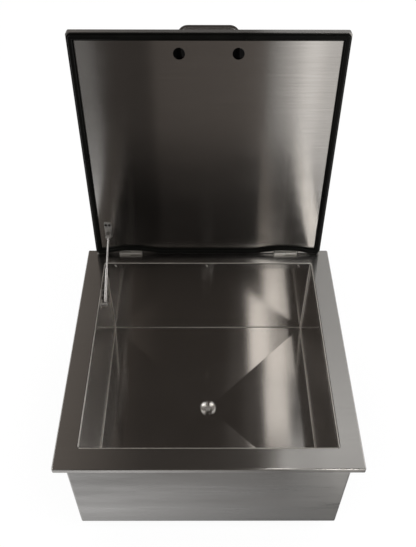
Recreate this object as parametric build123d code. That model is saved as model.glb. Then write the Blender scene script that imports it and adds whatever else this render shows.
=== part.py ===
"""Drop-in ice bin with a hinged, insulated lid.

Millimetres, +Z up, front towards -Y. The origin is the centre of the counter
plane that the folded rim rests on. The lid is drawn standing open on its stay.
"""
from build123d import *
import os
from math import atan2, cos, degrees, hypot, radians, sin

# Rim: a square flange, folded down and under along its outer edge
rim_width = 508.0
rim_height = 10.4
rim_sheet = 1.2
rim_return = 10.0
rim_corner = 3.0
rim_fold = 2.5

# Mouth and ice well
mouth_width = 429.0
mouth_corner = 3.5
mouth_bend = 3.0
mouth_leg = 16.0
liner_sheet = 1.0
floor_depth = 210.2
floor_cove = 3.0
floor_margin = 1.0
floor_fall = 5.0
drain_seat = 36.0

# Outer casing
casing_width = 476.0
casing_depth = 230.2
casing_corner = 4.0
casing_sheet = 0.9
base_upstand = 14.0

# Drain
drain_ring_radius = 16.7
drain_ring_height = 2.4
drain_thread_radius = 10.65
drain_bore_radius = 7.9
drain_spigot_radius = 9.5
drain_spigot_length = 30.0
drain_mouth_radius = 8.6
drain_mouth_depth = 4.0
drain_seal = 1.0
drain_washer = 1.5
drain_nut_height = 6.0
drain_nut_flats = 28.0
drain_hole_radius = 11.0
strainer_sheet = 1.0
strainer_hole_radius = 1.3
strainer_hole_circle = 5.0

# Hinges: each has a foot on the rim behind the pin, and a leaf under the lid's panel
hinge_spacing = 326.0
hinge_width = 46.0
hinge_leaf_depth = 12.0
hinge_foot_depth = 10.0
hinge_foot_block = 2.6
hinge_sheet = 1.2
knuckle_radius = 3.0
knuckle_gap = 0.4
knuckle_end_gap = 0.3
pin_radius = 1.5
pin_clearance = 0.05
pin_head_radius = 2.3
pin_head = 0.8
pin_from_back = 13.5
pin_lift = 3.3
hinge_screw_spacing = 28.0
lid_screw_setback = 7.7
foot_screw_setback = -6.5
hinge_screw_head_radius = 2.5
hinge_screw_socket = 1.1
hinge_screw_socket_depth = 0.8
hinge_plate = 2.5
hinge_plate_depth = 5.6

# Lid: two nested pans round a foam core
lid_width = 471.0
lid_depth = 470.2
lid_height = 14.0
lid_sheet = 1.0
lid_corner = 4.0
lid_edge_fold = 2.5
lid_overhang = 1.0
lid_panel_upstand = 8.0
lid_open_angle = 93.9

# Gasket
gasket_width = 12.0
gasket_base = 2.5
gasket_bulb_width = 8.0
gasket_bulb_round = 2.5
gasket_clearance = 0.3
gasket_inset = 0.9
gasket_corner = 8.0
gasket_detour = 7.0
gasket_detour_flat = 18.0
gasket_detour_side = 50.0
gasket_detour_middle = 62.0
gasket_detour_radius = 120.0

# Handle: a flat-bar pull that leans towards the lid's front edge
handle_reach = 40.0
handle_lean = 40.0
handle_half_width = 52.5
handle_bar = 5.5
handle_band = 20.0
handle_corner = 17.0
handle_edge = 1.0
handle_setback = 433.4
handle_screw_x = 49.75
handle_screw_radius = 1.75
handle_screw_grip = 8.0
handle_washer = 1.0
plug_radius = 10.1
plug_barrel_radius = 9.4
plug_wall = 1.2
plug_barrel = 7.0
plug_dome = 2.2
plug_edge = 0.6

# Lid stay: a rod that slides in a tube, at the left wall of the well
stay_x = -205.0
stay_foot_y = 109.0
stay_foot_drop = 10.0
stay_lid_reach = 50.0
stay_lid_drop = 10.5
stay_tube_radius = 2.8
stay_bore_radius = 1.83
stay_rod_radius = 1.75
stay_eye_radius = 4.3
stay_eye_width = 4.0
stay_tube_start = 5.0
stay_tube_end = 74.9
stay_rod_start = 67.7
stay_rod_eye_radius = 3.8
stay_rod_eye_width = 3.0
stay_rod_neck = 6.3
stay_rod_neck_radius = 2.4
stay_rod_pin_end = 1.2
stay_hole_at = 47.0
stay_hole_radius = 1.1
stay_side_gap = 0.3
wall_pin_radius = 2.0
wall_pin_head_radius = 3.6
wall_pin_head = 2.2
wall_pin_shoulder_radius = 3.4
wall_plate_sheet = 1.5
wall_plate_height = 14.0
wall_plate_ahead = 8.0
wall_plate_behind = 38.0
wall_screw_offsets = (17.0, 30.0)
bracket_sheet = 1.5
bracket_ear_radius = 4.0
bracket_ear_base = 16.0
bracket_screw_reach = 73.5
bracket_screw_spacing = 7.0
bracket_rivet_radius = 2.2
bracket_rivet = 0.8

# Heights and places that follow from the sizes above
rim_top = rim_height
liner_top = rim_top - mouth_leg
floor_level = rim_top - floor_depth
seat_level = floor_level - floor_fall
casing_low = rim_top - casing_depth
pin_y = rim_width / 2 - pin_from_back
pin_z = rim_top + pin_lift
lid_low = pin_z + pin_lift
lid_high = lid_low + lid_height
lid_back = pin_y + lid_overhang
lid_front = lid_back - lid_depth
lid_middle = (lid_back + lid_front) / 2
handle_y = pin_y - handle_setback
lid_axis = Axis((0, pin_y, pin_z), (1, 0, 0))
well_side = mouth_width / 2
hinge_screw_length = hinge_sheet + rim_sheet + hinge_plate + 1


def block(width, depth, low, high, corner=0.0, middle=0.0):
    """Upright block round the Z axis, or shifted to y = middle."""
    outline = RectangleRounded(width, depth, corner) if corner else Rectangle(width, depth)
    return Pos(0, middle, low) * extrude(outline, high - low)


def slab(x_low, x_high, y_low, y_high, z_low, z_high):
    """Plain box between two corners."""
    box = Box(x_high - x_low, y_high - y_low, z_high - z_low)
    return Pos((x_low + x_high) / 2, (y_low + y_high) / 2, (z_low + z_high) / 2) * box


def drum(radius, low, high):
    """Cylinder on the Z axis."""
    return Pos(0, 0, (low + high) / 2) * Cylinder(radius, high - low)


def bar(radius, x_low, x_high, y, z):
    """Cylinder along X."""
    return Pos((x_low + x_high) / 2, y, z) * Rot(0, 90, 0) * Cylinder(radius, x_high - x_low)


def turned(edges):
    """Solid of revolution about Z, from edges drawn in the XZ plane."""
    return revolve(make_face(edges), Axis.Z)


def polished_edges(solid, level, radius):
    """Fillet the horizontal edges that lie at one height."""
    edges = solid.edges().filter_by_position(Axis.Z, level - 0.01, level + 0.01)
    return fillet(edges, radius)


def flat_screw(length):
    """Countersunk hinge screw, standing head up with its flat top at Z = 0."""
    flare = hinge_screw_head_radius - pin_radius
    head = Pos(0, 0, -flare / 2) * Cone(pin_radius, hinge_screw_head_radius, flare)
    socket = extrude(RegularPolygon(hinge_screw_socket, 6), -hinge_screw_socket_depth)
    return head + drum(pin_radius, -length, -flare) - socket


def flat_screw_hole():
    """The room that a countersunk hinge screw takes, without its drive socket."""
    flare = hinge_screw_head_radius - pin_radius
    head = Pos(0, 0, -flare / 2) * Cone(pin_radius, hinge_screw_head_radius, flare)
    return head + drum(pin_radius, -hinge_screw_length, -flare)


def screw(head_radius, head_height, shank_radius, length):
    """Button-head screw, standing head up with the underside of its head at Z = 0."""
    head = polished_edges(drum(head_radius, 0, head_height), head_height, 0.7 * head_height)
    return head + drum(shank_radius, -length, 0)


def opened(solid):
    """Swing a piece drawn on the closed lid up to the open position."""
    return solid.rotate(lid_axis, -lid_open_angle)


def hinge_centres():
    return (-hinge_spacing / 2, hinge_spacing / 2)


def hinge_screw_places(centre, setback):
    y = pin_y - setback
    return [(centre - hinge_screw_spacing / 2, y), (centre + hinge_screw_spacing / 2, y)]


# Rim

def make_rim_flange():
    """Folded outer lip, flat top and an inner edge that bends down into the well."""
    outer = block(rim_width, rim_width, 0, rim_top, rim_corner)
    outer = polished_edges(outer, rim_top, rim_fold)
    hollow_width = rim_width - 2 * rim_sheet
    hollow = block(hollow_width, hollow_width, rim_sheet, rim_top - rim_sheet, rim_corner - rim_sheet)
    hollow = polished_edges(hollow, rim_top - rim_sheet, rim_fold - rim_sheet)
    under_width = rim_width - 2 * rim_return
    under = block(under_width, under_width, -1, rim_top - rim_sheet)
    plate = outer - hollow - under
    leg_width = mouth_width + 2 * rim_sheet
    leg = block(leg_width, leg_width, rim_top - mouth_leg, rim_top, mouth_corner + rim_sheet)
    frame = plate + leg
    frame -= block(mouth_width, mouth_width, -mouth_leg, rim_top + 1, mouth_corner)
    inner_top = frame.faces().sort_by(Axis.Z)[-1].inner_wires()[0].edges()
    frame = fillet(inner_top, mouth_bend)
    for centre in hinge_centres():
        for x, y in hinge_screw_places(centre, foot_screw_setback):
            frame -= Pos(x, y, rim_top) * drum(pin_radius, -2 * rim_sheet, 1)
    for ahead in wall_screw_offsets:
        frame -= bar(wall_pin_radius, -well_side - 5, -well_side + 5, stay_foot_y + ahead, stay_foot_z())
    return frame


# Liner, casing and insulation

def well(grow):
    """The ice space, or the liner's outside when grow is the sheet thickness."""
    width = mouth_width + 2 * grow
    level = floor_level - grow
    walls = block(width, width, level, liner_top, mouth_corner + grow)
    cove = floor_cove + grow
    walls = polished_edges(walls, level, cove)
    fall_width = width - 2 * (cove + floor_margin)
    top = Pos(0, 0, level) * Rectangle(fall_width, fall_width)
    low = Pos(0, 0, level - floor_fall) * Rectangle(drain_seat, drain_seat)
    return walls + loft([top, low], ruled=True)


def make_inner_liner():
    """Box liner whose floor is creased into four facets falling to the drain."""
    liner = well(liner_sheet) - well(0)
    return liner - drum(drain_hole_radius, seat_level - 5, seat_level + 5)


def casing_inside(low, high):
    width = casing_width - 2 * casing_sheet
    return block(width, width, low, high, casing_corner - casing_sheet)


def make_outer_shell():
    high = rim_top - rim_sheet
    return block(casing_width, casing_width, casing_low, high, casing_corner) - casing_inside(casing_low, high)


def make_base_pan():
    """Shallow tray that closes the casing, its edges turned up inside the walls."""
    pan = casing_inside(casing_low, casing_low + base_upstand)
    inner = casing_width - 4 * casing_sheet
    pan -= block(inner, inner, casing_low + casing_sheet, casing_low + base_upstand, casing_corner - 2 * casing_sheet)
    return pan - drum(drain_hole_radius, casing_low - 1, casing_low + 5)


def tapped_plates(low, setback):
    """Plates that the hinge screws pull against, one behind each hinge leaf."""
    plates = []
    y = pin_y - setback
    near, far = y - hinge_plate_depth / 2, y + hinge_plate_depth / 2
    for centre in hinge_centres():
        half = hinge_width / 2
        plate = slab(centre - half, centre + half, near, far, low, low + hinge_plate)
        for x, screw_y in hinge_screw_places(centre, setback):
            plate -= Pos(x, screw_y, low) * drum(pin_radius, -1, hinge_plate + 1)
        plates.append(plate)
    return plates


def make_wall_insulation(base_pan):
    """Foam that fills the space between liner and casing."""
    foam = casing_inside(casing_low + casing_sheet, rim_top - rim_sheet)
    foam -= well(liner_sheet)
    leg_width = mouth_width + 2 * rim_sheet + 4
    foam -= block(leg_width, leg_width, liner_top, rim_top, mouth_corner + rim_sheet + 2)
    foam -= base_pan
    foam -= drum(drain_hole_radius + 1, casing_low, seat_level)
    for ahead in wall_screw_offsets:
        foam -= bar(wall_pin_radius + 0.5, -well_side - 12, -well_side, stay_foot_y + ahead, stay_foot_z())
    return foam


# Drain

def drain_levels():
    """Ring underside, nut top, nut underside and tail end."""
    ring_low = seat_level + drain_seal
    nut_high = casing_low - drain_washer
    nut_low = nut_high - drain_nut_height
    return ring_low, nut_high, nut_low, nut_low - 3 - drain_spigot_length


def make_drain_fitting():
    """Beaded ring with a funnel mouth, threaded barrel and plain hose spigot."""
    ring_low, _, nut_low, tail_end = drain_levels()
    rim_edge = ring_low + 0.8
    bead = ring_low + drain_ring_height
    ledge = ring_low - drain_mouth_depth
    step = nut_low - 3
    bead_inner = (drain_ring_radius - 3.4, 0, ring_low + 1.5)
    funnel_low = (drain_mouth_radius, 0, ring_low - 1.2)
    edges = [
        Line((drain_bore_radius, 0, tail_end), (drain_spigot_radius, 0, tail_end)),
        Line((drain_spigot_radius, 0, tail_end), (drain_spigot_radius, 0, step)),
        Line((drain_spigot_radius, 0, step), (drain_thread_radius, 0, step)),
        Line((drain_thread_radius, 0, step), (drain_thread_radius, 0, ring_low)),
        Line((drain_thread_radius, 0, ring_low), (drain_ring_radius, 0, ring_low)),
        Line((drain_ring_radius, 0, ring_low), (drain_ring_radius, 0, rim_edge)),
        ThreePointArc((drain_ring_radius, 0, rim_edge), (drain_ring_radius - 1.6, 0, bead), bead_inner),
        ThreePointArc(bead_inner, (drain_mouth_radius + 2.2, 0, ring_low + 0.5), funnel_low),
        Line(funnel_low, (drain_mouth_radius, 0, ledge)),
        Line((drain_mouth_radius, 0, ledge), (drain_bore_radius, 0, ledge)),
        Line((drain_bore_radius, 0, ledge), (drain_bore_radius, 0, tail_end)),
    ]
    return turned(edges)


def make_drain_strainer():
    """Perforated disc that rests on the ledge in the drain's mouth."""
    ledge = drain_levels()[0] - drain_mouth_depth
    disc = drum(drain_mouth_radius, ledge, ledge + strainer_sheet)
    hole = drum(strainer_hole_radius, ledge - 1, ledge + 2)
    disc -= hole
    for place in PolarLocations(strainer_hole_circle, 6):
        disc -= place * hole
    return disc


def make_drain_locknut():
    _, nut_high, nut_low, _ = drain_levels()
    hexagon = RegularPolygon(drain_nut_flats / 2, 6, major_radius=False)
    nut = Pos(0, 0, nut_low) * extrude(hexagon, drain_nut_height)
    return nut - drum(drain_thread_radius, nut_low - 1, nut_high + 1)


# Hinges

def knuckle_span(centre, side):
    """Ends of the knuckle on the left (-1) or right (+1) half of a hinge."""
    end_gap = knuckle_end_gap if side > 0 else 0
    near = centre + side * knuckle_gap / 2
    far = centre + side * (hinge_width / 2 - end_gap)
    return min(near, far), max(near, far)


def make_hinge_base_leaf(centre):
    """Left knuckle on a block, with a flat foot that runs back under the lid's edge."""
    half = hinge_width / 2
    x_low, x_high = knuckle_span(centre, -1)
    foot_top = rim_top + hinge_sheet
    foot_start = pin_y + knuckle_radius + knuckle_gap
    leaf = slab(centre - half, centre + half, foot_start, pin_y + hinge_foot_depth, rim_top, foot_top)
    leaf += slab(x_low, x_high, pin_y, foot_start, rim_top, foot_top)
    leaf += slab(x_low, x_high, pin_y - hinge_foot_block, pin_y + hinge_foot_block, rim_top, pin_z)
    leaf += bar(knuckle_radius, x_low, x_high, pin_y, pin_z)
    leaf -= bar(pin_radius, x_low - 1, x_high + 1, pin_y, pin_z)
    for x, y in hinge_screw_places(centre, foot_screw_setback):
        leaf -= Pos(x, y, foot_top) * flat_screw_hole()
    return leaf


def lid_leaf_plate(centre, end):
    half = hinge_width / 2
    return slab(centre - half, centre + half, pin_y - hinge_leaf_depth, end, lid_low - hinge_sheet, lid_low)


def make_hinge_lid_leaf(centre):
    """Right knuckle, with a leaf that lies on the panel behind the gasket."""
    x_low, x_high = knuckle_span(centre, 1)
    end = pin_y - knuckle_radius - knuckle_gap
    leaf = lid_leaf_plate(centre, end) + slab(x_low, x_high, end, pin_y, lid_low - hinge_sheet, lid_low)
    leaf += bar(knuckle_radius, x_low, x_high, pin_y, pin_z)
    leaf -= bar(pin_radius + pin_clearance, x_low - 1, x_high + 1, pin_y, pin_z)
    for x, y in hinge_screw_places(centre, lid_screw_setback):
        leaf -= Pos(x, y, lid_low - hinge_sheet) * Rot(180, 0, 0) * flat_screw_hole()
    return opened(leaf)


def make_hinge_pin(centre):
    half = hinge_width / 2
    pin = bar(pin_radius, centre - half, centre + half, pin_y, pin_z)
    pin += bar(pin_head_radius, centre - half - pin_head, centre - half, pin_y, pin_z)
    pin += bar(pin_head_radius, centre + half, centre + half + pin_head, pin_y, pin_z)
    return pin


def make_hinge_base_screws():
    places = [place for centre in hinge_centres() for place in hinge_screw_places(centre, foot_screw_setback)]
    return [Pos(x, y, rim_top + hinge_sheet) * flat_screw(hinge_screw_length) for x, y in places]


def make_hinge_lid_screws():
    places = [place for centre in hinge_centres() for place in hinge_screw_places(centre, lid_screw_setback)]
    turned_over = Rot(180, 0, 0) * flat_screw(hinge_screw_length)
    return [opened(Pos(x, y, lid_low - hinge_sheet) * turned_over) for x, y in places]


# Lid

def lid_block(inset, low, high, corner):
    return block(lid_width - 2 * inset, lid_depth - 2 * inset, low, high, corner, lid_middle)


def make_lid_outer_pan():
    """Top skin with folded-down sides, open underneath."""
    pan = polished_edges(lid_block(0, lid_low, lid_high, lid_corner), lid_high, lid_edge_fold)
    inside = lid_block(lid_sheet, lid_low, lid_high - lid_sheet, lid_corner - lid_sheet)
    pan -= polished_edges(inside, lid_high - lid_sheet, lid_edge_fold - lid_sheet)
    for x in (-handle_screw_x, handle_screw_x):
        pan -= Pos(x, handle_y, lid_high) * drum(handle_screw_radius, -2, 2)
    return opened(pan)


def panel_closed():
    """Inner pan, nested in the outer one, with its edges turned up."""
    high = lid_low + lid_panel_upstand
    panel = lid_block(lid_sheet, lid_low, high, lid_corner - lid_sheet)
    panel -= lid_block(2 * lid_sheet, lid_low + lid_sheet, high, lid_corner - 2 * lid_sheet)
    for x in (-handle_screw_x, handle_screw_x):
        panel -= Pos(x, handle_y, lid_low) * drum(plug_barrel_radius, -1, 2)
    for centre in hinge_centres():
        for x, y in hinge_screw_places(centre, lid_screw_setback):
            panel -= Pos(x, y, lid_low) * drum(pin_radius, -1, 2)
    for x, y in bracket_screw_places():
        panel -= Pos(x, y, lid_low) * drum(pin_radius, -1, 2)
    return panel


def make_lid_foam_core():
    """Foam between the two pans, pocketed round the handle's screws."""
    foam = lid_block(lid_sheet, lid_low + lid_sheet, lid_high - lid_sheet, lid_corner - lid_sheet)
    foam = polished_edges(foam, lid_high - lid_sheet, lid_edge_fold - lid_sheet)
    foam -= panel_closed()
    for plate in tapped_plates(lid_low + lid_sheet, lid_screw_setback):
        foam -= plate
    for x in (-handle_screw_x, handle_screw_x):
        foam -= Pos(x, handle_y, lid_low) * drum(plug_barrel_radius + 1, 0, lid_height)
    for centre in hinge_centres():
        for x, y in hinge_screw_places(centre, lid_screw_setback):
            foam -= Pos(x, y, lid_low) * drum(pin_radius + 0.5, 0, lid_height / 2)
    for x, y in bracket_screw_places():
        foam -= Pos(x, y, lid_low) * drum(pin_radius + 0.5, 0, lid_height / 2)
    return opened(foam)


def gasket_outline():
    """Outer edge of the gasket: straight sides, and a long wave in front of each hinge."""
    side = lid_width / 2 - gasket_inset
    front = lid_front + gasket_inset
    back = lid_back - gasket_inset
    points = [(-side, front)]
    radii = [gasket_corner]
    points.append((-side, back))
    radii.append(gasket_corner)
    for centre in hinge_centres():
        left_run = gasket_detour_side if centre < 0 else gasket_detour_middle
        right_run = gasket_detour_middle if centre < 0 else gasket_detour_side
        points.append((centre - left_run, back))
        points.append((centre - gasket_detour_flat, back - gasket_detour))
        points.append((centre + gasket_detour_flat, back - gasket_detour))
        points.append((centre + right_run, back))
        radii += [gasket_detour_radius] * 4
    points.append((side, back))
    radii.append(gasket_corner)
    points.append((side, front))
    radii.append(gasket_corner)
    return make_face(FilletPolyline(*points, radius=radii, close=True))


def gasket_ring(outline, start, width, low, high):
    """Closed band that follows the outline, start millimetres inside it."""
    outer = offset(outline, -start) if start else outline
    inner = offset(outline, -start - width, kind=Kind.INTERSECTION)
    return Pos(0, 0, low) * extrude(outer - inner, high - low)


def make_lid_gasket():
    """Flat base glued to the panel and over the hinge leaves, with a rounded bulb."""
    outline = gasket_outline()
    base_low = lid_low - gasket_base
    bulb_low = rim_top + gasket_clearance
    base = gasket_ring(outline, 0, gasket_width, base_low, lid_low)
    bulb_start = (gasket_width - gasket_bulb_width) / 2
    bulb = gasket_ring(outline, bulb_start, gasket_bulb_width, bulb_low, base_low)
    bulb = polished_edges(bulb, bulb_low, gasket_bulb_round)
    gasket = base + bulb
    for centre in hinge_centres():
        gasket -= lid_leaf_plate(centre, pin_y)
    return opened(gasket)


def make_hole_plug(x):
    """Domed snap-in plug that hides a handle screw."""
    barrel_inner = plug_barrel_radius - plug_wall
    edges = [
        Line((0, 0, plug_dome), (0, 0, 0)),
        Line((0, 0, 0), (barrel_inner, 0, 0)),
        Line((barrel_inner, 0, 0), (barrel_inner, 0, -plug_barrel)),
        Line((barrel_inner, 0, -plug_barrel), (plug_barrel_radius, 0, -plug_barrel)),
        Line((plug_barrel_radius, 0, -plug_barrel), (plug_barrel_radius, 0, 0)),
        Line((plug_barrel_radius, 0, 0), (plug_radius, 0, 0)),
        Line((plug_radius, 0, 0), (plug_radius, 0, plug_edge)),
        TangentArc((0, 0, plug_dome), (plug_radius, 0, plug_edge), tangent=(1, 0, 0)),
    ]
    return opened(Pos(x, handle_y, lid_low) * Rot(180, 0, 0) * turned(edges))


def handle_plane():
    """Plane of the pull: X across the lid, Y up along the leaning legs."""
    lean = radians(handle_lean)
    up = Vector(0, -sin(lean), cos(lean))
    across = Vector(1, 0, 0)
    return Plane(origin=(0, handle_y, lid_high), x_dir=across, z_dir=across.cross(up))


def handle_arch(half_width, reach, corner):
    """Arch outline with rounded upper corners; its legs run below the skin."""
    tail = -handle_band
    middle = (reach + tail) / 2
    arch = Pos(0, middle) * Rectangle(2 * half_width, reach - tail)
    return fillet(arch.vertices().group_by(Axis.Y)[-1], corner)


def make_lid_handle():
    """Bent flat-bar pull with its feet cut flush to the lid's skin."""
    outer = handle_arch(handle_half_width, handle_reach, handle_corner)
    inner = handle_arch(handle_half_width - handle_bar, handle_reach - handle_bar, handle_corner - handle_bar)
    band = extrude(handle_plane() * (outer - inner), handle_band / 2, both=True)
    band = fillet(band.edges().filter_by(long_band_edge), handle_edge)
    band -= slab(-100, 100, handle_y - 100, handle_y + 100, lid_high - 100, lid_high)
    for x in (-handle_screw_x, handle_screw_x):
        band -= Pos(x, handle_y, lid_high) * drum(handle_screw_radius, -1, handle_screw_grip)
    return opened(band)


def long_band_edge(edge):
    """True for the edges that run along the bent bar, not across its width."""
    width_axis = handle_plane().z_dir
    start, end = edge.position_at(0), edge.position_at(1)
    return abs((end - start).dot(width_axis)) < 0.1 and edge.length > 2 * handle_bar


def make_handle_screws():
    length = handle_washer + lid_sheet + handle_screw_grip
    shape = Rot(180, 0, 0) * screw(4.0, 2.4, handle_screw_radius, length)
    level = lid_high - lid_sheet - handle_washer
    return [opened(Pos(x, handle_y, level) * shape) for x in (-handle_screw_x, handle_screw_x)]


def make_handle_washers():
    level = lid_high - lid_sheet
    washer = drum(6.0, level - handle_washer, level)
    washer -= drum(handle_screw_radius, level - 2 * handle_washer, level + 1)
    return [opened(Pos(x, handle_y, 0) * washer) for x in (-handle_screw_x, handle_screw_x)]


# Lid stay

def stay_foot_z():
    return rim_top - stay_foot_drop


def stay_head_closed():
    """Lid-end pivot of the stay on the closed lid, as (y, z)."""
    return pin_y - stay_lid_reach, lid_low - stay_lid_drop


def stay_head():
    """Lid-end pivot with the lid open, as (y, z)."""
    y, z = stay_head_closed()
    turn = radians(lid_open_angle)
    ahead, above = y - pin_y, z - pin_z
    return pin_y + ahead * cos(turn) + above * sin(turn), pin_z - ahead * sin(turn) + above * cos(turn)


def stay_length(head):
    y, z = head
    return hypot(y - stay_foot_y, z - stay_foot_z())


def stay_slope(head):
    y, z = head
    return atan2(z - stay_foot_z(), y - stay_foot_y)


def stay_plane():
    """Origin at the foot pivot, X across the bin, Z along the stay."""
    slope = stay_slope(stay_head())
    return Plane(origin=(stay_x, stay_foot_y, stay_foot_z()), x_dir=(1, 0, 0), z_dir=(0, cos(slope), sin(slope)))


def cross_bar(radius, half_width, along):
    """Cylinder across the stay, in the stay's own plane."""
    return Pos(0, 0, along) * Rot(0, 90, 0) * Cylinder(radius, 2 * half_width)


def make_stay_tube():
    tube = drum(stay_tube_radius, stay_tube_start, stay_tube_end)
    tube -= drum(stay_bore_radius, stay_tube_start - 1, stay_tube_end + 1)
    hole = Pos(0, -stay_tube_radius, stay_hole_at) * Rot(90, 0, 0) * Cylinder(stay_hole_radius, 2 * stay_tube_radius)
    return stay_plane() * (tube - hole)


def make_stay_tube_eye():
    eye = cross_bar(stay_eye_radius, stay_eye_width / 2, 0)
    eye += drum(stay_tube_radius, stay_eye_radius - 0.3, stay_tube_start)
    return stay_plane() * (eye - cross_bar(wall_pin_radius + pin_clearance, stay_eye_width, 0))


def make_stay_rod():
    end = stay_length(stay_head()) - stay_rod_neck
    return stay_plane() * drum(stay_rod_radius, stay_rod_start, end)


def make_stay_rod_eye():
    length = stay_length(stay_head())
    eye = cross_bar(stay_rod_eye_radius, stay_rod_eye_width / 2, length)
    eye += drum(stay_rod_neck_radius, length - stay_rod_neck, length)
    return stay_plane() * (eye - cross_bar(stay_rod_radius, stay_rod_eye_width, length))


def make_stay_rod_pin():
    half = stay_rod_eye_width / 2 + stay_rod_pin_end
    return stay_plane() * cross_bar(stay_rod_radius, half, stay_length(stay_head()))


def make_stay_wall_bracket():
    """Strip on the well's left wall, rounded at both ends."""
    length = wall_plate_ahead + wall_plate_behind
    strip = extrude(Plane.YZ * SlotOverall(length, wall_plate_height), wall_plate_sheet)
    middle = stay_foot_y + (wall_plate_behind - wall_plate_ahead) / 2
    strip = Pos(-well_side, middle, stay_foot_z()) * strip
    for offset_y in wall_screw_offsets:
        strip -= bar(wall_pin_radius, -well_side - 1, -well_side + 3, stay_foot_y + offset_y, stay_foot_z())
    return strip


def make_stay_wall_screws():
    shape = Rot(0, 90, 0) * screw(3.5, 2.0, wall_pin_radius, 8)
    face = -well_side + wall_plate_sheet
    return [Pos(face, stay_foot_y + offset_y, stay_foot_z()) * shape for offset_y in wall_screw_offsets]


def make_stay_wall_pin():
    """Shouldered stud with a domed head that carries the tube's eye."""
    y, z = stay_foot_y, stay_foot_z()
    plate_face = -well_side + wall_plate_sheet
    eye_low = stay_x - stay_eye_width / 2 - stay_side_gap
    eye_high = stay_x + stay_eye_width / 2 + stay_side_gap
    head = Pos(eye_high, y, z) * Rot(0, 90, 0)
    head *= polished_edges(drum(wall_pin_head_radius, 0, wall_pin_head), wall_pin_head, 0.8 * wall_pin_head)
    return bar(wall_pin_shoulder_radius, plate_face, eye_low, y, z) + bar(wall_pin_radius, eye_low, eye_high, y, z) + head


def bracket_screw_places():
    y = pin_y - bracket_screw_reach
    return [(stay_x - bracket_screw_spacing / 2, y), (stay_x + bracket_screw_spacing / 2, y)]


def make_stay_lid_bracket():
    """Clevis on the lid's inner panel, its ears either side of the rod's eye."""
    head_y, head_z = stay_head_closed()
    gap = stay_rod_eye_width / 2 + stay_rod_pin_end + stay_side_gap
    half = gap + bracket_sheet
    plate_low = lid_low - bracket_sheet
    back = head_y + bracket_ear_base / 2
    front = pin_y - bracket_screw_reach - 6
    bracket = slab(stay_x - half - 2.5, stay_x + half + 2.5, front, back, plate_low, lid_low)
    ear_outline = Plane.YZ * (
        Pos(head_y, head_z) * Circle(bracket_ear_radius)
        + make_face(Polyline((head_y - bracket_ear_radius, head_z), (head_y + bracket_ear_radius, head_z),
                             (back, lid_low), (head_y - bracket_ear_base / 2, lid_low), close=True))
    )
    for side in (-1, 1):
        x_inner = stay_x + side * gap
        ear = Pos(x_inner + (side < 0) * -bracket_sheet, 0, 0) * extrude(ear_outline, bracket_sheet)
        face = x_inner + side * bracket_sheet
        rivet_low, rivet_high = sorted((face, face + side * bracket_rivet))
        bracket += ear + bar(bracket_rivet_radius, rivet_low, rivet_high, head_y, head_z)
    for x, y in bracket_screw_places():
        bracket -= Pos(x, y, plate_low) * drum(pin_radius, -1, bracket_sheet + 1)
    return opened(bracket)


def make_stay_lid_screws():
    shape = Rot(180, 0, 0) * screw(2.8, 1.8, pin_radius, bracket_sheet + lid_sheet + 4)
    return [opened(Pos(x, y, lid_low - bracket_sheet) * shape) for x, y in bracket_screw_places()]


def make_pieces():
    """Every piece by its name; a list is a group of separate solids."""
    base_pan = make_base_pan()
    ring_low, nut_high, _, _ = drain_levels()
    seal = drum(15.5, seat_level, ring_low) - drum(drain_thread_radius, seat_level - 1, ring_low + 1)
    base_washer = drum(drain_ring_radius, nut_high, casing_low)
    base_washer -= drum(drain_thread_radius, nut_high - 1, casing_low + 1)
    left, right = hinge_centres()
    return {
        "rim_flange": make_rim_flange(),
        "inner_liner": make_inner_liner(),
        "outer_shell": make_outer_shell(),
        "base_pan": base_pan,
        "wall_insulation": make_wall_insulation(base_pan),
        "drain_fitting": make_drain_fitting(),
        "drain_seal_washer": seal,
        "drain_strainer": make_drain_strainer(),
        "drain_base_washer": base_washer,
        "drain_locknut": make_drain_locknut(),
        "hinge_base_leaf_left": make_hinge_base_leaf(left),
        "hinge_base_leaf_right": make_hinge_base_leaf(right),
        "hinge_pin_left": make_hinge_pin(left),
        "hinge_pin_right": make_hinge_pin(right),
        "hinge_base_screws": make_hinge_base_screws(),
        "hinge_base_plates": tapped_plates(rim_top - rim_sheet - hinge_plate, foot_screw_setback),
        "stay_wall_bracket": make_stay_wall_bracket(),
        "stay_wall_screws": make_stay_wall_screws(),
        "stay_wall_pin": make_stay_wall_pin(),
        "stay_tube": make_stay_tube(),
        "stay_tube_eye": make_stay_tube_eye(),
        "stay_rod": make_stay_rod(),
        "stay_rod_eye": make_stay_rod_eye(),
        "stay_rod_pin": make_stay_rod_pin(),
        "lid_outer_pan": make_lid_outer_pan(),
        "lid_inner_panel": opened(panel_closed()),
        "lid_foam_core": make_lid_foam_core(),
        "lid_gasket": make_lid_gasket(),
        "hole_plug_left": make_hole_plug(-handle_screw_x),
        "hole_plug_right": make_hole_plug(handle_screw_x),
        "lid_handle": make_lid_handle(),
        "handle_screws": make_handle_screws(),
        "handle_washers": make_handle_washers(),
        "hinge_lid_leaf_left": make_hinge_lid_leaf(left),
        "hinge_lid_leaf_right": make_hinge_lid_leaf(right),
        "hinge_lid_screws": make_hinge_lid_screws(),
        "hinge_lid_plates": [opened(plate) for plate in tapped_plates(lid_low + lid_sheet, lid_screw_setback)],
        "stay_lid_bracket": make_stay_lid_bracket(),
        "stay_lid_screws": make_stay_lid_screws(),
    }


def print_motion():
    """Pivot places, and how far the stay turns and shortens as the lid closes."""
    head, closed = stay_head(), stay_head_closed()
    turn = degrees(stay_slope(closed) - stay_slope(head))
    travel = stay_length(closed) - stay_length(head)
    print("lid pivot", pin_y, pin_z, "stay foot", stay_foot_y, stay_foot_z())
    print("stay slope", degrees(stay_slope(head)), "turn", turn, "travel", travel)
    print("turn ratio", turn / lid_open_angle, "slide mm per rad", travel / radians(lid_open_angle))


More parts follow.
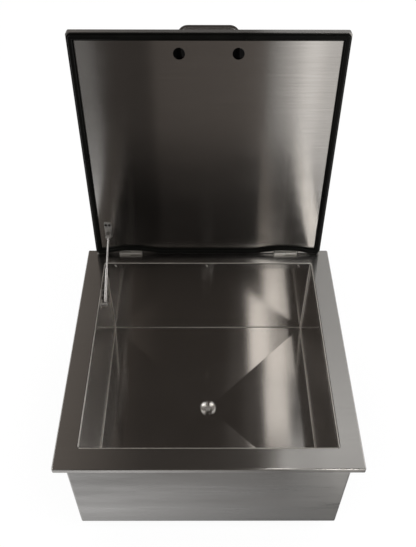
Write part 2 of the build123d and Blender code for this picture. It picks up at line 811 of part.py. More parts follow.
def main():
    os.makedirs("parts", exist_ok=True)
    for name, piece in make_pieces().items():
        shape = Compound(children=piece) if isinstance(piece, list) else piece
        export_step(shape, f"parts/{name}.step")
    print_motion()


main()
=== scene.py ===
"""Finishes, weld marks, studio and camera of the drop-in ice bin."""
import bmesh
import bpy
from math import cos, radians, sin
from mathutils import Matrix, Vector


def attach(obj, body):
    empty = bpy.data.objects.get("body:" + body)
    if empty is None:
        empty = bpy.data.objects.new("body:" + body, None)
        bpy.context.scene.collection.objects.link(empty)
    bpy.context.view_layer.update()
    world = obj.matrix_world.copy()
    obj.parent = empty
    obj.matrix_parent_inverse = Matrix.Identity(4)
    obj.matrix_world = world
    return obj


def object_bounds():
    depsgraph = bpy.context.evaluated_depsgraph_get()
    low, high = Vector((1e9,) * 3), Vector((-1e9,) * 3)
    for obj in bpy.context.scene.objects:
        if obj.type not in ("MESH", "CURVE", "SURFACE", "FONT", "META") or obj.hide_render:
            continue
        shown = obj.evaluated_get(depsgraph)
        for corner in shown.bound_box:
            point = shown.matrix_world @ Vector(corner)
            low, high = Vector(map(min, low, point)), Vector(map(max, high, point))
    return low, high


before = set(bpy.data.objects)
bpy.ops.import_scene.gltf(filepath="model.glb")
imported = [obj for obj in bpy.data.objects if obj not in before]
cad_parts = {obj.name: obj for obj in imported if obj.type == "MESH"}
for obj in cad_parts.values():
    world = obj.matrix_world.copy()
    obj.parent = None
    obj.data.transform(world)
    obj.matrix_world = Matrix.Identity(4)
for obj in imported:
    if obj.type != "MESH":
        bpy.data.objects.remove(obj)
cad_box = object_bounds()
MM = 0.001

# Camera, solved from the photographed corners of rim, mouth, lid and casing
camera_place = Vector((-5.4, -765.9, 989.6)) * MM
camera_pitch = radians(46.853)
camera_yaw = radians(0.31)
camera_roll = radians(0.238)
camera_lens = 43.65
camera_sensor = 36
camera_shift = 0.0212

# Brushed sheet: noise scale along and across the grain's lines, and how much each layer shows in the tone
fine_along, fine_across, fine_share = 30, 2600, 0.25
coarse_along, coarse_across, coarse_share = 9, 430, 0.45
cloud_share = 0.3

# A face counts as a side wall where its normal's X is above this
side_wall_normal = 0.7

# A fitting's roughness where its marks are faintest and strongest, as shares of the mean
roughness_spread = (0.8, 1.4)

# Reflection of black rubber and plastic, weaker than the shader's default of 0.5
black_specular = 0.10

# Brushed finishes: colour of the light and the dark lines, and roughness of the smoothest and the roughest
brushed_finishes = {
    "rim_sheet": dict(light=(0.55, 0.54, 0.525), dark=(0.50, 0.49, 0.475), smooth=0.18, rough=0.21),
    "liner_sheet": dict(light=(0.635, 0.615, 0.595), dark=(0.58, 0.56, 0.54), smooth=0.125, rough=0.15,
                        wave=0.2),
    "panel_sheet": dict(light=(0.645, 0.63, 0.615), dark=(0.515, 0.50, 0.485), smooth=0.155, rough=0.185),
    "casing_sheet": dict(light=(0.58, 0.575, 0.57), dark=(0.53, 0.525, 0.52), smooth=0.28, rough=0.33,
                         cloud=0.04, wave=0.5, cloud_stretch=(3, 12, 26)),
}

# Fittings: colour of the light and the dark marks, mean roughness, and depth and fineness of the marks; on
# the stay's brackets the marks are painted glints and painted shade
fitting_finishes = {
    "polished_fitting": dict(light=(0.86, 0.845, 0.82), dark=(0.80, 0.785, 0.76), roughness=0.09, dents=0.03),
    "handle_finish": dict(light=(0.68, 0.67, 0.66), dark=(0.60, 0.59, 0.58), roughness=0.10, dents=0.02),
    "stay_finish": dict(light=(0.68, 0.66, 0.645), dark=(0.62, 0.60, 0.585), roughness=0.20, dents=0.01),
    # The brackets' light and dark lie far apart: a fine speckle of painted glints over painted shade, on
    # plated metal
    "bracket_painted_glints_and_shade": dict(light=(0.95, 0.935, 0.91), dark=(0.30, 0.29, 0.28), roughness=0.34, dents=0.2,
                           speckle_scale=420),
    "dark_screw": dict(light=(0.12, 0.115, 0.11), dark=(0.04, 0.038, 0.036), roughness=0.25),
    "hinge_finish": dict(light=(0.80, 0.79, 0.76), dark=(0.74, 0.73, 0.70), roughness=0.30, dents=0.01),
    "satin_fitting": dict(light=(0.80, 0.79, 0.77), dark=(0.72, 0.71, 0.69), roughness=0.20, dents=0.03),
    "plain_steel": dict(light=(0.42, 0.41, 0.40), dark=(0.32, 0.31, 0.30), roughness=0.34),
}

# The CAD nodes that each finish covers
finished_nodes = {
    "rim_sheet": ("rim_flange", "lid_outer_pan"),
    "liner_sheet": ("inner_liner",),
    "panel_sheet": ("lid_inner_panel",),
    "casing_sheet": ("outer_shell", "base_pan"),
    "polished_fitting": ("drain_fitting", "drain_strainer"),
    "handle_finish": ("lid_handle",),
    "stay_finish": ("stay_tube", "stay_rod"),
    # The stay's brackets, wall pin and eyes take the finish with painted glints and painted shade
    "bracket_painted_glints_and_shade": ("stay_wall_bracket", "stay_lid_bracket", "stay_wall_pin", "stay_rod_eye",
                       "stay_tube_eye"),
    "dark_screw": ("stay_wall_screws", "stay_lid_screws"),
    "hinge_finish": ("hinge_base_leaf_left", "hinge_base_leaf_right", "hinge_lid_leaf_left",
                     "hinge_lid_leaf_right", "hinge_pin_left", "hinge_pin_right"),
    "satin_fitting": ("stay_rod_pin",),
    "plain_steel": ("drain_base_washer", "drain_locknut", "handle_screws", "handle_washers",
                    "hinge_base_plates", "hinge_base_screws", "hinge_lid_plates", "hinge_lid_screws"),
    "gasket_rubber": ("lid_gasket", "drain_seal_washer"),
    "plug_plastic": ("hole_plug_left", "hole_plug_right"),
    "wall_foam": ("wall_insulation", "lid_foam_core"),
}

# The well, in the bin's frame
well_half = 214.5 * MM
well_floor = -199.8 * MM
floor_cove = 3.0 * MM
well_corner = 3.5 * MM
rim_top = 10.4 * MM
mouth_bend = 3.0 * MM
round_inset = 1 - cos(radians(45))

# Weld beads: length of a step, and radians per step of the two waves that vary a bead's thickness. The
# tacks sit under the mouth's rear edge, each leaning to the right on its way down
bead_step = 4 * MM
bead_waves = (2.4, 0.7)
seam_radius = 0.8 * MM
mouth_seam_radius = 0.75 * MM
tack_radius = 1.3 * MM
tack_top = 5 * MM
tack_lean = 3 * MM
tack_places = (("left", -0.195), ("middle", -0.004), ("right", 0.188))

# Tints of the studio's lights, papers and cloths; the cloths' tint also colours the painted shade inside the
# well
white = (1, 1, 1)
light_tint = (1, 0.97, 0.93)
room_tint = (1, 0.985, 0.965)
paper_tint = (1, 0.99, 0.98)
cloth_and_shade_tint = (1, 0.88, 0.79)
shade_tint = (1, 0.93, 0.87)

# Room, in metres; a glow of 1 is white
paper_glow = 0.88
paper_shade = 0.15
room_light = 0.75
room_half = 8.0
room_width = (-3.0, 3.0)
ceiling_height = 1.5
front_wall_y = -3.2
rear_wall_y = 3.5

# Cards below the ceiling hang in layers, so that none lies in another
first_layer = ceiling_height - 2 * MM
second_layer = ceiling_height - 3 * MM
third_layer = ceiling_height - 5 * MM
fourth_layer = ceiling_height - 7 * MM

# Dark cloth above the bin, paler towards its left end
overhead_glow = 0.058
overhead_left_glow = 0.18
overhead_fade = (-0.25, -0.70)
overhead_rear_y = 0.1
rear_edge = 0.30

# Bright strip above the right half of the bin, with its left and right edges at the ends of each stretch
strip_glow = 1.75
strip_front = (0.265, 0.385)
strip_middle = (0.258, 0.358)
strip_rear = (0.17, 0.305)
strip_front_y = -2.4
strip_middle_y = -1.5
strip_patch = (0.335, 0.44)
strip_patch_y = (-1.04, -0.72)
front_patch = (0.34, 0.42)
front_patch_y = (-1.66, -1.30)
fringe_glow = 0.13
fringe_front = (0.17, 0.26)
fringe_rear = (0.08, 0.17)
strip_blind_x = 0.17
strip_blind_low = 0.80

# Cloth to the right of the strip
overhead_right_glow = 0.07
overhead_right_front_y = -1.3

# Soft lights above and behind the right half, a shade that keeps them off the well's floor, the cloth
# behind all and the mat behind the bin
rear_left_glow = 0.94
rear_right_glow = 0.47
rear_light_y = 0.28
rear_dim_y = 0.85
rear_shade = (0.28, 0.50)
rear_shade_y = (0.79, 1.50)
rear_flag_glow = 0.30
rear_flag_low = 0.2
rear_mat_half = 0.7
rear_mat_y = (0.3, 1.8)

# Boxes of light seen only in parts: their left and right ends, front and rear ends, and glow
front_box = (0.60, 0.80)
front_box_y = (-2.6, -1.85)
front_box_glow = 9.0
side_box_left = (-1.7, -0.9)
side_box_left_y = (-1.5, 0.5)
side_box_right = (0.95, 1.7)
side_box_right_y = (-0.5, 0.9)
side_box_glow = 1.8
spark_left = (-1.1, -0.8)
spark_left_y = (-1.35, -1.05)
spark_right = (0.75, 1.05)
spark_right_y = (-0.5, -0.2)
spark_glow = 3.0

# Papers on the ground just ahead of the casing, with their glow at the right and at the left
apron_half = 0.6
apron_fade = (0.25, -0.20)
mat_start_y = -0.44
shaded_paper_y = -0.275
casing_front_y = -0.240
near_paper_glows = (0.12, 0.92)
shaded_paper_glows = (0.085, 0.46)

# Painted shade: dark cards that hang just inside the well's front wall, seen only by way of the lid: their
# ends and glow
front_shade_y = -0.208
front_shade_heights = (well_floor + 2 * MM, -1 * MM)
front_shades = (
    ("front_shade_left", -0.212, -0.133, 0.002),
    ("front_shade_middle", -0.133, 0.145, 0.012),
)

# Cloths that fan out ahead of the bin: their sides as slopes from the lid's mirrored eye, and the glow at
# their left and right sides
eye_x = -5.4 * MM
eye_y = 1.29
dark_cloth_limit = 0.15
cloth_fan = (
    ("far_left_cloth", -0.60, -0.176, 0.17, 0.17),
    ("left_cloth", -0.176, -0.085, 0.050, 0.050),
    ("middle_cloth", -0.085, 0.100, 0.100, 0.120),
    ("right_cloth", 0.100, 0.155, 0.22, 0.80),
    ("bright_cloth", 0.155, 0.186, 1.02, 1.02),
    ("far_right_cloth", 0.186, 0.60, 0.68, 0.68),
)

# Lamps that light matt surfaces: width and place in metres, and power in watts
lamp_size = 1.6
fill_lamp_place = (-1.4, -1.6, 2.2)
fill_lamp_power = 12
key_lamp_place = (1.2, -0.6, 2.4)
key_lamp_power = 14


# Node helpers

def new_material(name):
    """Material with an empty node tree, its shader and output already joined."""
    material = bpy.data.materials.new(name)
    material.use_nodes = True
    nodes = material.node_tree.nodes
    nodes.clear()
    shader = nodes.new("ShaderNodeBsdfPrincipled")
    output = nodes.new("ShaderNodeOutputMaterial")
    material.node_tree.links.new(shader.outputs["BSDF"], output.inputs["Surface"])
    return material, material.node_tree, shader


def stretched_noise(tree, stretch, detail=4.0):
    """Noise on the piece's own coordinates, with its own scale along each axis."""
    place = tree.nodes.new("ShaderNodeTexCoord")
    mapping = tree.nodes.new("ShaderNodeMapping")
    mapping.inputs["Scale"].default_value = stretch
    noise = tree.nodes.new("ShaderNodeTexNoise")
    noise.inputs["Scale"].default_value = 1.0
    noise.inputs["Detail"].default_value = detail
    noise.inputs["Roughness"].default_value = 0.6
    tree.links.new(place.outputs["Object"], mapping.inputs["Vector"])
    tree.links.new(mapping.outputs["Vector"], noise.inputs["Vector"])
    return noise.outputs["Fac"]


def even_noise(tree, scale, detail=4.0):
    """Noise with one scale along all axes."""
    return stretched_noise(tree, (scale, scale, scale), detail)


def remap(tree, value, low, high, from_low=0.3, from_high=0.7):
    """Value carried from one range to another; by default the range is that of most noise."""
    node = tree.nodes.new("ShaderNodeMapRange")
    node.inputs["From Min"].default_value = from_low
    node.inputs["From Max"].default_value = from_high
    node.inputs["To Min"].default_value = low
    node.inputs["To Max"].default_value = high
    tree.links.new(value, node.inputs["Value"])
    return node.outputs["Result"]


def arithmetic(tree, operation, first, second):
    """Result of the named operation on two sockets or numbers."""
    node = tree.nodes.new("ShaderNodeMath")
    node.operation = operation
    for socket, value in zip(node.inputs, (first, second)):
        if isinstance(value, (int, float)):
            socket.default_value = value
        else:
            tree.links.new(value, socket)
    return node.outputs["Value"]


def object_axes(tree):
    """The piece's own coordinates, as one socket for each axis."""
    place = tree.nodes.new("ShaderNodeTexCoord")
    split = tree.nodes.new("ShaderNodeSeparateXYZ")
    tree.links.new(place.outputs["Object"], split.inputs["Vector"])
    return split.outputs


def two_colours(tree, factor, first, second):
    """Colour between two, by a factor."""
    node = tree.nodes.new("ShaderNodeMix")
    node.data_type = "RGBA"
    node.inputs["A"].default_value = (*first, 1)
    node.inputs["B"].default_value = (*second, 1)
    tree.links.new(factor, node.inputs["Factor"])
    return node.outputs["Result"]


def mixed_value(tree, factor, first, second):
    """Number between two sockets, by a factor."""
    node = tree.nodes.new("ShaderNodeMix")
    node.data_type = "FLOAT"
    tree.links.new(factor, node.inputs["Factor"])
    tree.links.new(first, node.inputs["A"])
    tree.links.new(second, node.inputs["B"])
    return node.outputs["Result"]


def bumped(tree, shader, height, strength, distance):
    """Shader's normal moved by a height."""
    bump = tree.nodes.new("ShaderNodeBump")
    bump.inputs["Strength"].default_value = strength
    bump.inputs["Distance"].default_value = distance
    tree.links.new(height, bump.inputs["Height"])
    tree.links.new(bump.outputs["Normal"], shader.inputs["Normal"])


def side_wall_mask(tree):
    """1 on faces that look left or right, 0 on all others."""
    geometry = tree.nodes.new("ShaderNodeNewGeometry")
    split = tree.nodes.new("ShaderNodeSeparateXYZ")
    tree.links.new(geometry.outputs["Normal"], split.inputs["Vector"])
    size = arithmetic(tree, "ABSOLUTE", split.outputs["X"], 0)
    return arithmetic(tree, "GREATER_THAN", size, side_wall_normal)


def level_grain(tree, side_walls, along, across, detail):
    """Noise drawn out in level lines on every wall."""
    along_x = stretched_noise(tree, (along, across, across), detail)
    along_y = stretched_noise(tree, (across, along, across), detail)
    return mixed_value(tree, side_walls, along_x, along_y)


def across_the_grain(tree, side_walls):
    """Direction in the face, square to grain that runs level along every wall."""
    geometry = tree.nodes.new("ShaderNodeNewGeometry")
    along = tree.nodes.new("ShaderNodeMix")
    along.data_type = "VECTOR"
    along.inputs["A"].default_value = (1, 0, 0)
    along.inputs["B"].default_value = (0, 1, 0)
    tree.links.new(side_walls, along.inputs["Factor"])
    cross = tree.nodes.new("ShaderNodeVectorMath")
    cross.operation = "CROSS_PRODUCT"
    tree.links.new(geometry.outputs["Normal"], cross.inputs[0])
    tree.links.new(along.outputs["Result"], cross.inputs[1])
    return cross.outputs["Vector"]


# Finishes

def brushed_stainless(name, light, dark, smooth, rough, cloud=0.02, wave=0.12, cloud_stretch=(4, 9, 9)):
    """Sheet with fine and coarse level grain, faint clouding and a sheen drawn out across the grain."""
    material, tree, shader = new_material(name)
    side_walls = side_wall_mask(tree)
    grain = level_grain(tree, side_walls, fine_along, fine_across, 3.0)
    coarse = level_grain(tree, side_walls, coarse_along, coarse_across, 2.0)
    clouds = stretched_noise(tree, cloud_stretch, 3.0)
    lines = arithmetic(tree, "ADD", remap(tree, grain, 0, fine_share), remap(tree, coarse, 0, coarse_share))
    tone = arithmetic(tree, "ADD", lines, remap(tree, clouds, 0, cloud_share))
    tree.links.new(two_colours(tree, tone, dark, light), shader.inputs["Base Color"])
    streaks = remap(tree, grain, smooth, rough)
    haze = remap(tree, clouds, -cloud, cloud)
    tree.links.new(arithmetic(tree, "ADD", streaks, haze), shader.inputs["Roughness"])
    shader.inputs["Metallic"].default_value = 1.0
    shader.inputs["Anisotropic"].default_value = 1.0
    tree.links.new(across_the_grain(tree, side_walls), shader.inputs["Tangent"])
    bumped(tree, shader, clouds, wave, 0.5 * MM)
    return material


def polished_metal(name, light, dark, roughness, dents=0.05, speckle_scale=60):
    """Metal with faint wavering and small handling marks, from mirror bright to dull by its roughness. Where
    its light and dark lie far apart, as on the stay's brackets, the marks are painted glints and painted
    shade.
    """
    material, tree, shader = new_material(name)
    marks = even_noise(tree, speckle_scale)
    tree.links.new(two_colours(tree, marks, dark, light), shader.inputs["Base Color"])
    smooth, rough = (roughness * share for share in roughness_spread)
    tree.links.new(remap(tree, marks, smooth, rough), shader.inputs["Roughness"])
    shader.inputs["Metallic"].default_value = 1.0
    bumped(tree, shader, marks, dents, 0.3 * MM)
    return material


def black_rubber():
    """Extruded rubber: dark, softly shining, with a faint bloom."""
    material, tree, shader = new_material("gasket_rubber")
    bloom = even_noise(tree, 25)
    pores = even_noise(tree, 900)
    tree.links.new(two_colours(tree, bloom, (0.002, 0.002, 0.002), (0.005, 0.005, 0.004)),
                   shader.inputs["Base Color"])
    tree.links.new(remap(tree, bloom, 0.26, 0.38), shader.inputs["Roughness"])
    shader.inputs["Specular IOR Level"].default_value = black_specular
    bumped(tree, shader, pores, 0.08, 0.1 * MM)
    return material


def moulded_plastic():
    """Glossy black plug plastic with slight flow marks."""
    material, tree, shader = new_material("plug_plastic")
    flow = even_noise(tree, 120)
    tree.links.new(two_colours(tree, flow, (0.0, 0.0, 0.0), (0.001, 0.001, 0.001)),
                   shader.inputs["Base Color"])
    tree.links.new(remap(tree, flow, 0.07, 0.12), shader.inputs["Roughness"])
    shader.inputs["Specular IOR Level"].default_value = black_specular
    bumped(tree, shader, flow, 0.03, 0.1 * MM)
    return material


def rigid_foam():
    """Yellowish closed-cell foam, hidden inside the walls and the lid."""
    material, tree, shader = new_material("wall_foam")
    cells = tree.nodes.new("ShaderNodeTexVoronoi")
    cells.inputs["Scale"].default_value = 900
    place = tree.nodes.new("ShaderNodeTexCoord")
    tree.links.new(place.outputs["Object"], cells.inputs["Vector"])
    tree.links.new(two_colours(tree, cells.outputs["Distance"], (0.72, 0.62, 0.4), (0.82, 0.74, 0.55)),
                   shader.inputs["Base Color"])
    shader.inputs["Roughness"].default_value = 0.9
    bumped(tree, shader, cells.outputs["Distance"], 0.4, 0.4 * MM)
    return material


def weld_metal():
    """Bare weld: bright, rippled across the run."""
    material, tree, shader = new_material("weld_metal")
    ripple = even_noise(tree, 420, 2.0)
    tree.links.new(two_colours(tree, ripple, (0.74, 0.71, 0.66), (0.88, 0.85, 0.80)),
                   shader.inputs["Base Color"])
    tree.links.new(remap(tree, ripple, 0.40, 0.56), shader.inputs["Roughness"])
    shader.inputs["Metallic"].default_value = 1.0
    bumped(tree, shader, ripple, 0.5, 0.3 * MM)
    return material


def dress_cad_nodes():
    """Give every CAD node its finish."""
    materials = {name: brushed_stainless(name, **looks) for name, looks in brushed_finishes.items()}
    materials.update({name: polished_metal(name, **looks) for name, looks in fitting_finishes.items()})
    materials.update({"gasket_rubber": black_rubber(), "plug_plastic": moulded_plastic(),
                      "wall_foam": rigid_foam()})
    finish_of = {node: finish for finish, nodes in finished_nodes.items() for node in nodes}
    for name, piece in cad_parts.items():
        piece.data.materials.clear()
        piece.data.materials.append(materials[finish_of[name]])


# Weld seams

def bead(name, points, radius, material, body="bin", closed=False, ripple=0.12):
    """Round run of weld along straight legs, with a slightly uneven thickness."""
    line = bpy.data.curves.new(name + "_line", "CURVE")
    line.dimensions = "3D"
    line.bevel_depth = radius
    line.bevel_resolution = 2
    line.use_fill_caps = not closed
    legs = list(zip(points, points[1:] + points[:1])) if closed else list(zip(points, points[1:]))
    places = []
    for start, end in legs:
        start, end = Vector(start), Vector(end)
        steps = max(2, round((end - start).length / bead_step))
        places += [start.lerp(end, step / steps) for step in range(steps)]
    if not closed:
        places.append(Vector(points[-1]))
    run = line.splines.new("POLY")
    run.points.add(len(places) - 1)
    for index, (point, place) in enumerate(zip(run.points, places)):
        point.co = (*place, 1)
        point.radius = 1 + ripple * sin(bead_waves[0] * index) * cos(bead_waves[1] * index)
    run.use_cyclic_u = closed
    holder = bpy.data.objects.new(name + "_line", line)
    data = bpy.data.meshes.new_from_object(holder)
    bpy.data.objects.remove(holder)
    data.name = name
    data.materials.clear()
    data.materials.append(material)
    for face in data.polygons:
        face.use_smooth = True
    piece = bpy.data.objects.new(name, data)
    bpy.context.scene.collection.objects.link(piece)
    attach(piece, body)
    return piece


def square_ring(half, height):
    """Corners of a level square, from front left round to rear left."""
    return [(-half, -half, height), (half, -half, height), (half, half, height), (-half, half, height)]


def make_seams():
    """Seams round the floor, up the four corners and round the mouth, and three tacks under the rim."""
    metal = weld_metal()
    low = well_floor + round_inset * floor_cove
    floor_ring = square_ring(well_half - round_inset * floor_cove, low)
    bead("floor_seam", floor_ring, seam_radius, metal, closed=True)
    corner = well_half - round_inset * well_corner
    high = rim_top - mouth_bend
    for name, x, y in (("rear_left", -1, 1), ("rear_right", 1, 1), ("front_left", -1, -1),
                       ("front_right", 1, -1)):
        points = [(x * corner, y * corner, low), (x * corner, y * corner, high)]
        bead("corner_seam_" + name, points, seam_radius, metal)
    mouth_ring = square_ring(well_half + round_inset * mouth_bend, rim_top - round_inset * mouth_bend)
    bead("mouth_seam", mouth_ring, mouth_seam_radius, metal, closed=True)
    for name, x in tack_places:
        points = [(x, well_half, tack_top), (x + tack_lean, well_half, 0)]
        bead("tack_" + name, points, tack_radius, metal)


# Studio

def glow_material(name, strength, colour=white):
    """Plain glow for a studio card; only the bright ones are sampled as lights."""
    material = bpy.data.materials.new(name)
    material.use_nodes = True
    material.cycles.emission_sampling = "AUTO" if strength > 1 else "NONE"
    tree = material.node_tree
    tree.nodes.clear()
    output = tree.nodes.new("ShaderNodeOutputMaterial")
    glow = tree.nodes.new("ShaderNodeEmission")
    glow.inputs["Color"].default_value = (*colour, 1)
    glow.inputs["Strength"].default_value = strength
    tree.links.new(glow.outputs["Emission"], output.inputs["Surface"])
    return material


def fading_material(name, right_glow, left_glow, fade, tint):
    """Cloth or paper whose glow changes towards the left, from the first x of the fade to the second."""
    material = glow_material(name, right_glow, tint)
    tree = material.node_tree
    strength = remap(tree, object_axes(tree)["X"], right_glow, left_glow, *fade)
    tree.links.new(strength, tree.nodes["Emission"].inputs["Strength"])
    return material


def fan_material(name, left_slope, right_slope, left_glow, right_glow):
    """Cloth whose glow changes with the direction seen from the lid's mirrored eye."""
    tint = cloth_and_shade_tint if left_glow < dark_cloth_limit else light_tint
    material = glow_material(name, left_glow, tint)
    if left_glow != right_glow:
        tree = material.node_tree
        axes = object_axes(tree)
        distance = arithmetic(tree, "SUBTRACT", eye_y, axes["Y"])
        slope = arithmetic(tree, "DIVIDE", axes["X"], distance)
        strength = remap(tree, slope, left_glow, right_glow, left_slope, right_slope)
        tree.links.new(strength, tree.nodes["Emission"].inputs["Strength"])
    return material


def seen_rays(tree):
    """1 for rays from the camera, from a mirror or through glass; 0 for soft light."""
    path = tree.nodes.new("ShaderNodeLightPath")
    mirrored = arithmetic(tree, "MAXIMUM", path.outputs["Is Glossy Ray"], path.outputs["Is Transmission Ray"])
    return arithmetic(tree, "MAXIMUM", path.outputs["Is Camera Ray"], mirrored)


def paper_material():
    """White paper that keeps a faint shadow."""
    material = glow_material("white_paper", paper_glow)
    tree = material.node_tree
    glow = tree.nodes["Emission"]
    shadowed = tree.nodes.new("ShaderNodeBsdfDiffuse")
    shadowed.inputs["Color"].default_value = (paper_shade, paper_shade, paper_shade, 1)
    shown = tree.nodes.new("ShaderNodeAddShader")
    tree.links.new(glow.outputs["Emission"], shown.inputs[0])
    tree.links.new(shadowed.outputs["BSDF"], shown.inputs[1])
    plain = tree.nodes.new("ShaderNodeBsdfDiffuse")
    mix = tree.nodes.new("ShaderNodeMixShader")
    tree.links.new(seen_rays(tree), mix.inputs["Fac"])
    tree.links.new(plain.outputs["BSDF"], mix.inputs[1])
    tree.links.new(shown.outputs["Shader"], mix.inputs[2])
    tree.links.new(mix.outputs["Shader"], tree.nodes["Material Output"].inputs["Surface"])
    return material


def stage_card(name, corners, material, seen=False):
    """Flat studio card through four corners; unless seen, only reflections find it."""
    mesh = bmesh.new()
    mesh.faces.new([mesh.verts.new(corner) for corner in corners])
    data = bpy.data.meshes.new(name)
    mesh.to_mesh(data)
    mesh.free()
    data.materials.append(material)
    piece = bpy.data.objects.new(name, data)
    bpy.context.scene.collection.objects.link(piece)
    piece.visible_camera = seen
    piece.visible_diffuse = seen
    piece.visible_shadow = seen
    return piece


def tapered_card(name, near, far, near_y, far_y, height, material, seen=False):
    """Level card; near and far are its left and right ends at its two edges."""
    corners = [(near[0], near_y, height), (near[1], near_y, height),
               (far[1], far_y, height), (far[0], far_y, height)]
    return stage_card(name, corners, material, seen)


def level_card(name, ends, near_y, far_y, height, material, seen=False):
    """Level oblong card between its left and right ends."""
    return tapered_card(name, ends, ends, near_y, far_y, height, material, seen)


def upright_card(name, left, right, low, high, material):
    """Upright card between two points of the floor plan."""
    corners = [(*left, low), (*right, low), (*right, high), (*left, high)]
    return stage_card(name, corners, material)


def soft_lamp(name, place, power):
    """Large area lamp, turned to the origin, that lights matt surfaces but isn't mirrored in the metal."""
    data = bpy.data.lights.new(name, "AREA")
    data.shape = "SQUARE"
    data.size = lamp_size
    data.energy = power
    lamp = bpy.data.objects.new(name, data)
    bpy.context.scene.collection.objects.link(lamp)
    lamp.location = place
    lamp.rotation_euler = Vector(place).to_track_quat("Z", "Y").to_euler()
    lamp.visible_glossy = False
    lamp.visible_camera = False
    return lamp


def make_cloth_fan(level):
    """Cloths on the ground and hanging behind the camera, in one fan."""
    for name, left_slope, right_slope, left_glow, right_glow in cloth_fan:
        material = fan_material(name, left_slope, right_slope, left_glow, right_glow)
        near = [eye_x + slope * (eye_y - mat_start_y) for slope in (left_slope, right_slope)]
        far = [eye_x + slope * (eye_y - front_wall_y) for slope in (left_slope, right_slope)]
        tapered_card(name, near, far, mat_start_y, front_wall_y, level, material)
        upright_card(name + "_hung", (far[0], front_wall_y), (far[1], front_wall_y), level,
                     ceiling_height, material)


def make_overhead():
    """Dark cloths above the bin, with the bright strip and its fringe on the right."""
    overhead = fading_material("overhead_cloth", overhead_glow, overhead_left_glow, overhead_fade, cloth_and_shade_tint)
    right = glow_material("overhead_right_cloth", overhead_right_glow, shade_tint)
    strip = glow_material("strip_light", strip_glow, light_tint)
    fringe = glow_material("fringe_cloth", fringe_glow, shade_tint)
    level_card("overhead_flag", room_width, front_wall_y, overhead_rear_y, ceiling_height, overhead)
    level_card("overhead_rear_flag", (room_width[0], rear_edge), overhead_rear_y, rear_wall_y, ceiling_height,
               overhead)
    upright_card("strip_blind", (strip_blind_x, strip_front_y), (strip_blind_x, overhead_rear_y),
                 strip_blind_low, ceiling_height, overhead)
    level_card("overhead_right_flag", (strip_rear[1], room_width[1]), overhead_right_front_y, rear_light_y,
               first_layer, right)
    tapered_card("strip_front", strip_front, strip_middle, strip_front_y, strip_middle_y, third_layer, strip)
    tapered_card("strip_softbox", strip_middle, strip_rear, strip_middle_y, overhead_rear_y, third_layer,
                 strip)
    level_card("strip_patch", strip_patch, *strip_patch_y, fourth_layer, strip)
    level_card("strip_front_patch", front_patch, *front_patch_y, fourth_layer, strip)
    level_card("rear_shade", rear_shade, *rear_shade_y, first_layer, overhead)
    tapered_card("strip_fringe", fringe_front, fringe_rear, strip_middle_y, overhead_rear_y, second_layer,
                 fringe)
    return overhead


def make_soft_boxes():
    """Boxes of light ahead of, beside and behind the bin, and the cloth behind all."""
    rear_left = glow_material("rear_soft_light", rear_left_glow, room_tint)
    rear_right = glow_material("rear_dim_light", rear_right_glow, room_tint)
    rear = glow_material("rear_cloth", rear_flag_glow, room_tint)
    front_light = glow_material("front_box_light", front_box_glow, light_tint)
    side_light = glow_material("side_box_light", side_box_glow, room_tint)
    level_card("front_softbox", front_box, *front_box_y, third_layer, front_light)
    level_card("side_box_left", side_box_left, *side_box_left_y, third_layer, side_light)
    level_card("side_box_right", side_box_right, *side_box_right_y, third_layer, side_light)
    rear_ends = (rear_edge, room_width[1])
    level_card("rear_softbox", rear_ends, rear_light_y, rear_dim_y, ceiling_height, rear_left)
    level_card("rear_right_box", rear_ends, rear_dim_y, rear_wall_y, ceiling_height, rear_right)
    upright_card("rear_flag", (room_width[0], rear_wall_y), (room_width[1], rear_wall_y), rear_flag_low,
                 ceiling_height + rear_flag_low, rear)


def make_aprons(level):
    """Papers on the ground ahead of the casing, and the dark cards of painted shade inside the well's front
    wall.
    """
    near = fading_material("near_paper", *near_paper_glows, apron_fade, paper_tint)
    shaded = fading_material("shaded_paper", *shaded_paper_glows, apron_fade, paper_tint)
    apron = (-apron_half, apron_half)
    level_card("near_paper", apron, mat_start_y, shaded_paper_y, level, near)
    level_card("shaded_paper", apron, shaded_paper_y, casing_front_y, level, shaded)
    # Dark cards of painted shade, which the lid mirrors in place of the front wall's own shade
    for name, left, right, glow in front_shades:
        shade = glow_material(name, glow, cloth_and_shade_tint)
        upright_card(name, (left, front_shade_y), (right, front_shade_y), *front_shade_heights, shade)


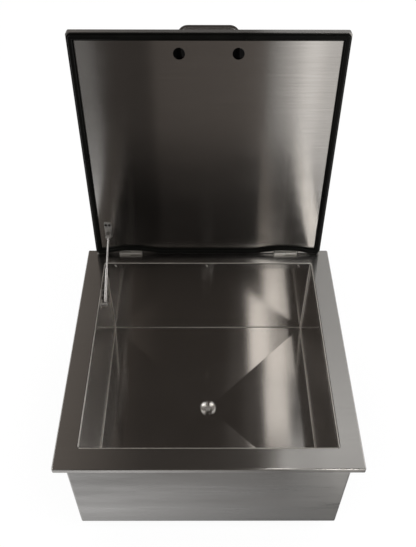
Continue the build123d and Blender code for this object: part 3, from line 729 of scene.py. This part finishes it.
def make_studio():
    """White paper and white room; dark cloths before and above the bin, with a bright strip on the right."""
    floor_level = cad_box[0][2] - 1 * MM
    mat_level = floor_level + 3 * MM
    level_card("paper", (-room_half, room_half), -room_half, room_half, floor_level, paper_material(),
               seen=True)
    make_cloth_fan(mat_level)
    overhead = make_overhead()
    make_soft_boxes()
    make_aprons(mat_level)
    level_card("rear_mat", (-rear_mat_half, rear_mat_half), *rear_mat_y, mat_level, overhead)
    spark = glow_material("spark_light", spark_glow)
    level_card("spark_left", spark_left, *spark_left_y, third_layer, spark)
    level_card("spark_right", spark_right, *spark_right_y, third_layer, spark)
    soft_lamp("fill_lamp", fill_lamp_place, fill_lamp_power)
    soft_lamp("key_lamp", key_lamp_place, key_lamp_power)


def make_world():
    """White to the camera and to reflections, a plain level for soft light."""
    world = bpy.data.worlds.new("studio_room")
    bpy.context.scene.world = world
    world.use_nodes = True
    world.cycles.sampling_method = "NONE"
    tree = world.node_tree
    tree.nodes.clear()
    output = tree.nodes.new("ShaderNodeOutputWorld")
    soft = tree.nodes.new("ShaderNodeBackground")
    soft.inputs["Strength"].default_value = room_light
    soft.inputs["Color"].default_value = (*white, 1)
    shown = tree.nodes.new("ShaderNodeBackground")
    shown.inputs["Color"].default_value = (*white, 1)
    mix = tree.nodes.new("ShaderNodeMixShader")
    tree.links.new(seen_rays(tree), mix.inputs["Fac"])
    tree.links.new(soft.outputs["Background"], mix.inputs[1])
    tree.links.new(shown.outputs["Background"], mix.inputs[2])
    tree.links.new(mix.outputs["Shader"], output.inputs["Surface"])


def make_camera():
    """Camera turned by yaw, then pitch, then a slight roll."""
    ahead = Vector((sin(camera_yaw) * cos(camera_pitch), cos(camera_yaw) * cos(camera_pitch),
                    -sin(camera_pitch)))
    right = Vector((cos(camera_yaw), -sin(camera_yaw), 0))
    above = right.cross(ahead)
    rolled_right = cos(camera_roll) * right + sin(camera_roll) * above
    rolled_above = cos(camera_roll) * above - sin(camera_roll) * right
    data = bpy.data.cameras.new("camera")
    data.lens = camera_lens
    data.sensor_width = camera_sensor
    data.shift_y = camera_shift
    camera = bpy.data.objects.new("camera", data)
    bpy.context.scene.collection.objects.link(camera)
    axes = Matrix((rolled_right, rolled_above, -ahead)).transposed()
    camera.matrix_world = Matrix.Translation(camera_place) @ axes.to_4x4()
    bpy.context.scene.camera = camera


dress_cad_nodes()
make_seams()
make_world()
make_studio()
make_camera()
bpy.context.scene.view_settings.view_transform = "Standard"
